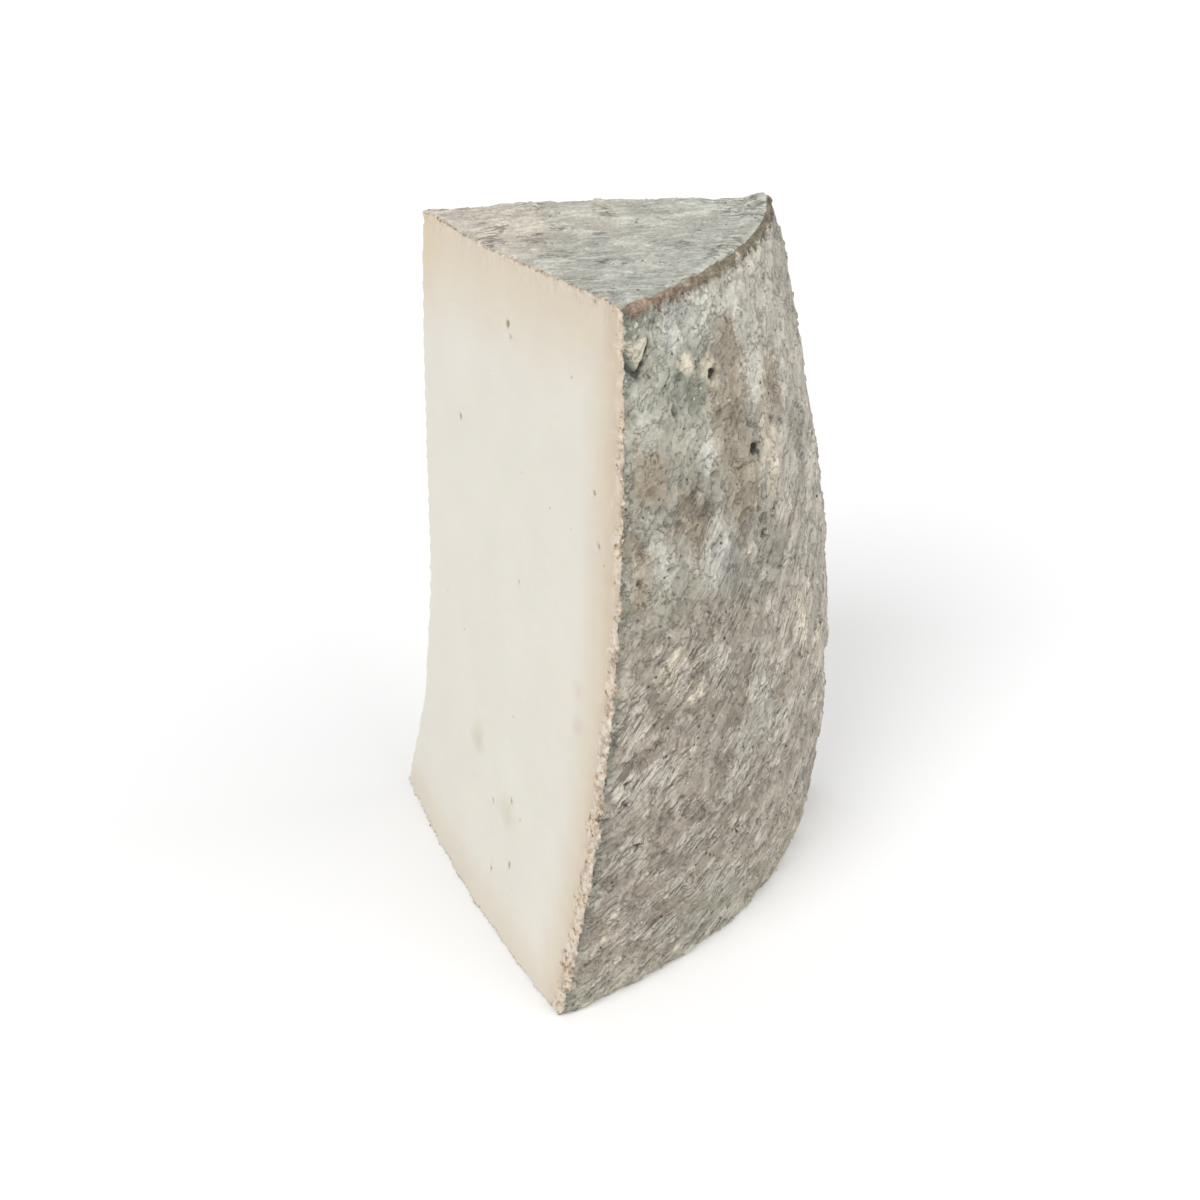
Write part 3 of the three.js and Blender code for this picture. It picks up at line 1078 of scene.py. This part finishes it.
def with_crust(recipe, colour, wheel, crusty):
    """Flaking crust over the heel's colour, with painted highlight on its raised parts and plates and
    painted shade in its low parts and along its plates' edges: its colour and its height.
    """
    crust = recipe.streaks(wheel, (0, -38, 0), (3.6, DEEP, 1.8), detail=9, rough=0.8, shift=4.4)
    # Raised crust is laid pale, partly as paler crust and partly as painted highlight, and sunken crust gets
    # painted shade.
    raised = recipe.times(recipe.mask(crust, 0.58, 0.68, most=0.6), crusty)
    colour = recipe.over(colour, PALE_CRUST_AND_HIGHLIGHT, raised)
    sunken = recipe.times(recipe.mask(crust, 0.41, 0.33, most=0.8), crusty)
    colour = recipe.over(colour, PAINTED_CREVICE_SHADE, sunken)
    plate = recipe.streaks(wheel, (0, -35, 0), (8, DEEP, 4.5), detail=9, rough=0.70, shift=15.0)
    # The plates are painted lighter and the crust round them darker, and painted shade runs along the
    # plates' edges.
    colour = recipe.shade(colour, recipe.mask(plate, 0.48, 0.52), 0.93, 1.06)
    edges = recipe.times(recipe.creases(plate, 0.013), crusty)
    colour = recipe.over(colour, PAINTED_CREVICE_SHADE, recipe.times(edges, 0.75))
    height = recipe.times(recipe.times(crust, crusty), 2.2)
    return colour, recipe.plus(height, recipe.mask(plate, 0.49, 0.51, most=0.5))


def with_scratches(recipe, colour, wheel, brushed):
    """Hair-thin scratches, some dark with painted shade and some filled with pale dust."""
    for turn, shift, tint, strength in SCRATCHES:
        drawn = recipe.streaks(wheel, (0, turn, 0), (20, DEEP, 1.3), detail=4, rough=0.55, shift=shift)
        gate = recipe.mask(recipe.noise(wheel, 8, detail=5, shift=shift), 0.50, 0.58)
        lines = recipe.times(recipe.times(recipe.creases(drawn, 0.07), gate), brushed)
        colour = recipe.over(colour, tint, recipe.times(lines, strength))
    return colour


print("The heel has", len(SCRATCHES), "sets of scratches")

# %% [markdown]
# ## The whole rind
# The rind's finish lays the flats' colour over the heel's, then the rim, a dusty grain, pinholes darkened by
# painted shade and pale flecks, and last the crumbs beside the cuts, with a painted shadow beside them on
# the heel. The patterns shade the colour and lift the bump by the same values, and the sculpted relief gets
# painted shade in its hollows and painted light on its rises, so that paint and shape agree.

# %% Mix the rind
# Painted shade for pinholes, the relief's deepest hollows and the carved holes, cracks and groove.
PAINTED_PIT_SHADE = (0.075, 0.068, 0.052)


def rind_material():
    """The rind's material and its recipe."""
    made, recipe, shader = new_material("rind")
    place = recipe.place()
    wheel = recipe.wheel(place)
    patches = recipe.parts(recipe.vector_attribute("patches"))
    up = recipe.parts(wheel)[2]
    flatness, relief = recipe.attribute("flatness"), recipe.attribute("relief")
    grain = recipe.noise(place, 0.8, detail=5, rough=0.75)
    dust = recipe.noise(place, 3.0, detail=7, rough=0.75, shift=3.3)
    swirl = recipe.bent(wheel, 45, 7)
    strokes, brushed = brush_marks(recipe, swirl, up)
    crusty = recipe.plus(recipe.times(recipe.attribute("crusty"), 0.9), 0.05)

    heel_side = heel_colour(recipe, wheel, strokes, *patches)
    heel_side = recipe.shade(heel_side, strokes, 0.70, 1.30)
    heel_side = recipe.shade(heel_side, dust, 0.87, 1.13)
    heel_side, crust_height = with_crust(recipe, heel_side, swirl, crusty)
    heel_side = with_scratches(recipe, heel_side, swirl, brushed)
    wavering = recipe.bent(place, 16, 6)
    cloth = recipe.streaks(wavering, (0, 0, CLOTH_ANGLE), (7, 0.9, 3), detail=7, rough=0.8)
    colour = recipe.over(heel_side, flat_colour(recipe, place, wheel, cloth), flatness)
    colour = with_rim(recipe, colour, place, flatness)
    colour = recipe.shade(colour, grain, 0.73, 1.27)
    # Painted light and shade: the sculpted relief's low parts are darkened and its high parts lightened.
    colour = recipe.shade(colour, recipe.mask(relief, -0.7, 0.9), 0.86, 1.12)

    # Pinholes: small pits pressed into the bump, darkened with painted shade.
    pinholes = recipe.mask(recipe.cells(place, 2.4), 0.17, 0.08)
    gate = recipe.mask(recipe.noise(place, 7, detail=2, shift=6.6), 0.47, 0.57)
    pinholes = recipe.times(pinholes, gate)
    colour = recipe.over(colour, PAINTED_PIT_SHADE, recipe.times(pinholes, 0.85))
    flecks = recipe.mask(recipe.cells(recipe.bent(place, 1.2, 1.2), 1.7), 0.24, 0.12)
    fleck_gate = recipe.mask(recipe.noise(place, 6, detail=3, shift=11.0), 0.52, 0.62)
    colour = recipe.over(colour, FLECKS, recipe.times(recipe.times(flecks, fleck_gate), 0.6))
    # Painted shade in the relief's deepest hollows.
    colour = recipe.over(colour, PAINTED_PIT_SHADE, recipe.mask(relief, -0.55, -1.2, most=0.75))
    # Painted shade in the carved holes, cracks and the groove under the flake.
    colour = recipe.over(colour, PAINTED_PIT_SHADE, recipe.mask(recipe.attribute("hollow"), 0.4, 1.0, most=0.9))

    crumb_colour, crumb_height = crumbs_in(recipe, place)
    ragged = recipe.noise(place, 5.0, detail=7, rough=0.74)
    gap = recipe.frayed(recipe.attribute("cut_gap"), ragged, 5.0)
    # A painted shadow: a dark-green band on the heel beside the crumbs of the cut edge.
    beside = recipe.times(recipe.mask(gap, 3.4, 1.2, most=0.28), recipe.maths("SUBTRACT", 1.0, flatness))
    colour = recipe.over(colour, DEEP_GREEN, beside)
    torn = recipe.mask(recipe.plus(gap, recipe.times(flatness, 0.6)), 0.75, 0.45)
    colour = recipe.over(colour, crumb_colour, torn)
    recipe.tree.links.new(colour, shader.inputs["Base Color"])
    shader.inputs["Roughness"].default_value = 0.85
    shader.inputs["Specular IOR Level"].default_value = 0.3
    heel_height = recipe.plus(recipe.times(strokes, 1.2), crust_height)
    on_skin = recipe.node("Mix", {0: flatness, 2: heel_height, 3: recipe.times(cloth, 2.4)}).outputs[0]
    height = recipe.plus(on_skin, recipe.times(grain, 0.8))
    height = recipe.plus(height, recipe.times(pinholes, -0.8))
    crumbly = recipe.times(recipe.plus(crumb_height, -MEAN_CRUMB), torn)
    height = recipe.plus(height, recipe.times(crumbly, 1.2))
    recipe.tree.links.new(recipe.bump(height, BUMP_FAR), shader.inputs["Normal"])
    return made, recipe


rind, rind_recipe = rind_material()
print("The rind has", len(rind_recipe.tree.nodes), "nodes")

# %% [markdown]
# ## Dressing the wedge
# The cheese is one piece with two finishes: faces nearer to a cut than to the rind take the paste.
# It rides on the part's only body and stands for the plain CAD wedge, which is hidden.

# %% Put the finishes on
cheese.data.materials.clear()
for finish in (rind, paste):
    cheese.data.materials.append(finish)
cheese.data.polygons.foreach_set("material_index", is_paste.astype(np.int32))
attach(cheese, "root")
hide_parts("cheese_wedge")
print(int(is_paste.sum()), "faces of paste and", int((~is_paste).sum()), "of rind")

# %% [markdown]
# ## The studio
# A pale floor under soft light shows cheese best: two wide suns blur the shadows, and a bright world fills
# them. The Standard view transform keeps colours as they were mixed, where a filmic one would grey them.

# %% Floor, world and lamps
FLOOR_SIZE = 3.0  # metres from the middle to each side
WORLD_STRENGTH = 0.58
body = bmesh.new()
bmesh.ops.create_grid(body, x_segments=1, y_segments=1, size=FLOOR_SIZE)
floor_mesh = bpy.data.meshes.new("floor")
body.to_mesh(floor_mesh)
body.free()
floor = bpy.data.objects.new("floor", floor_mesh)
bpy.context.scene.collection.objects.link(floor)
pale, _, pale_shader = new_material("pale floor")
pale_shader.inputs["Base Color"].default_value = (0.93, 0.93, 0.93, 1)
pale_shader.inputs["Roughness"].default_value = 0.95
floor.data.materials.append(pale)
floor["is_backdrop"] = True

world = bpy.data.worlds.new("studio")
world.use_nodes = True
world.node_tree.nodes["Background"].inputs["Color"].default_value = (1, 1, 1, 1)
world.node_tree.nodes["Background"].inputs["Strength"].default_value = WORLD_STRENGTH
bpy.context.scene.world = world
bpy.context.scene.view_settings.view_transform = "Standard"


def soft_sun(name, azimuth, elevation, strength, spread):
    """Even light from one side. A wide spread in degrees blurs its shadows, as a large screen does."""
    lamp = bpy.data.lights.new(name, "SUN")
    lamp.energy = strength
    lamp.angle = math.radians(spread)
    made = bpy.data.objects.new(name, lamp)
    turn = Matrix.Rotation(math.radians(azimuth), 4, "Z")
    tilt = Matrix.Rotation(math.radians(90 - elevation), 4, "X")
    made.matrix_world = turn @ tilt @ Matrix.Translation((0, 0, 1))
    bpy.context.scene.collection.objects.link(made)


soft_sun("key", azimuth=0, elevation=42, strength=1.6, spread=35)
soft_sun("fill", azimuth=95, elevation=30, strength=1.5, spread=60)

# %% [markdown]
# ## Measuring the result
# The finished cheese's box is measured against the CAD wedge's box, and how far each corner moved is
# printed.

# %% Write the sizes and finish
visual_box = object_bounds()
growth = [(v - c) / MM for cad, visual in zip(cad_box, visual_box) for v, c in zip(visual, cad)]
print("The box's corners moved by", [round(step, 2) for step in growth], "mm")
